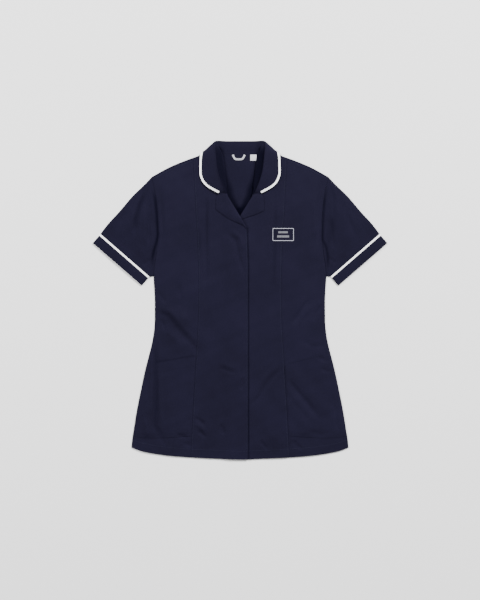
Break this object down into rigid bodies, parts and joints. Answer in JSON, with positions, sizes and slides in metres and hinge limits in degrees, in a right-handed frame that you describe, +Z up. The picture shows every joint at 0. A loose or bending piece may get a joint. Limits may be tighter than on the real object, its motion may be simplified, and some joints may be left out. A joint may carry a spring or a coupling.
{
  "type": "work tunic laid flat",
  "caption": "Short-sleeved navy work tunic laid flat on its back, with a wrapped front, turned-down collar and lapels, white braid on collar and cuffs, and patch pockets.",
  "frame": {"origin": "on the table, under the middle of the garment's bounding box", "axes": "+Y up the garment from hem to collar, +X to the wearer's left, +Z up off the table; the garment lies face up"},
  "size_m": [0.7064, 0.7655, 0.014],
  "materials": {
    "navy_cloth": "matt plain-woven polyester cotton",
    "white_braid": "matt woven braid",
    "loop_tape": "slightly shiny woven tape",
    "label_cloth": "smooth satin tape, blank"
  },
  "bodies": {
    "root": {"back": "navy_cloth", "front_centre_right": "navy_cloth", "front_centre_left": "navy_cloth", "front_side_right": "navy_cloth", "front_side_left": "navy_cloth", "lapel_right": "navy_cloth", "lapel_left": "navy_cloth", "collar": "navy_cloth", "collar_braid": "white_braid", "sleeve_right": "navy_cloth", "sleeve_left": "navy_cloth", "cuff_braid_right": "white_braid", "cuff_braid_left": "white_braid", "cuff_right": "navy_cloth", "cuff_left": "navy_cloth", "pocket_right": "navy_cloth", "pocket_left": "navy_cloth", "hanger_loop": "loop_tape", "size_label": "label_cloth"}
  },
  "joints": []
}
